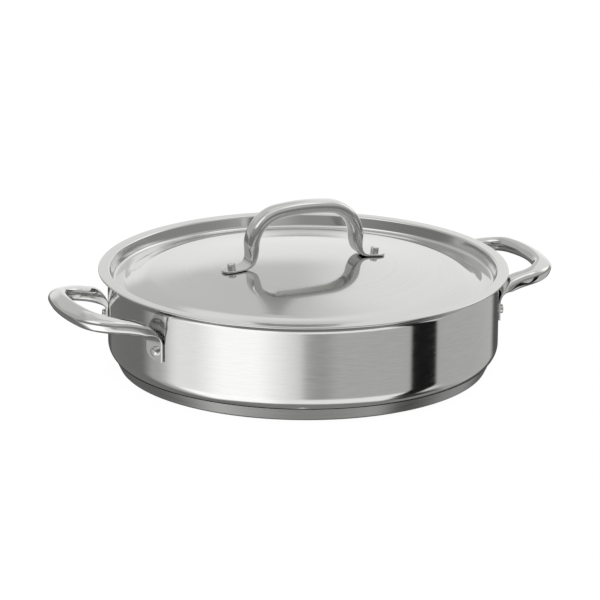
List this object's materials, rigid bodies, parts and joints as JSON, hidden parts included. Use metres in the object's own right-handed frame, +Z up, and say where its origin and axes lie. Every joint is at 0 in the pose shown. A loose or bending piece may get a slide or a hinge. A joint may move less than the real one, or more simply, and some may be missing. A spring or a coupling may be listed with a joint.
{
  "type": "saute pan with lid",
  "caption": "Wide low round pan with a flared lip, a thick layered base, riveted loop handles at its sides and a sunk domed lid with an upright arch handle; the lid lifts off.",
  "frame": {"origin": "centre of the base, on the surface that the pan stands on", "axes": "+X through the right side handle, +Z up, +Y away from the front"},
  "size_m": [0.3772, 0.2956, 0.1221],
  "materials": {
    "wall_steel": "fine brushing round the wall, nearly a mirror",
    "base_steel": "satin",
    "core_aluminium": "mill, hidden inside the base",
    "handle_steel": "satin polished",
    "rivet_steel": "polished",
    "lid_steel": "turned satin panel with a polished rim"
  },
  "bodies": {
    "pan": {"pan_body": "wall_steel", "base_core": "core_aluminium", "base_cap": "base_steel", "left_handle": "handle_steel", "right_handle": "handle_steel", "left_front_rivet": "rivet_steel", "left_rear_rivet": "rivet_steel", "right_front_rivet": "rivet_steel", "right_rear_rivet": "rivet_steel"},
    "lid": {"lid_plate": "lid_steel", "lid_handle": "handle_steel", "lid_left_rivet": "rivet_steel", "lid_right_rivet": "rivet_steel"}
  },
  "joints": [
    {"name": "lid_lift", "type": "slide", "parent": "pan", "child": "lid", "axis": [0, 0, 1], "range_m": [0, 0.15]}
  ]
}
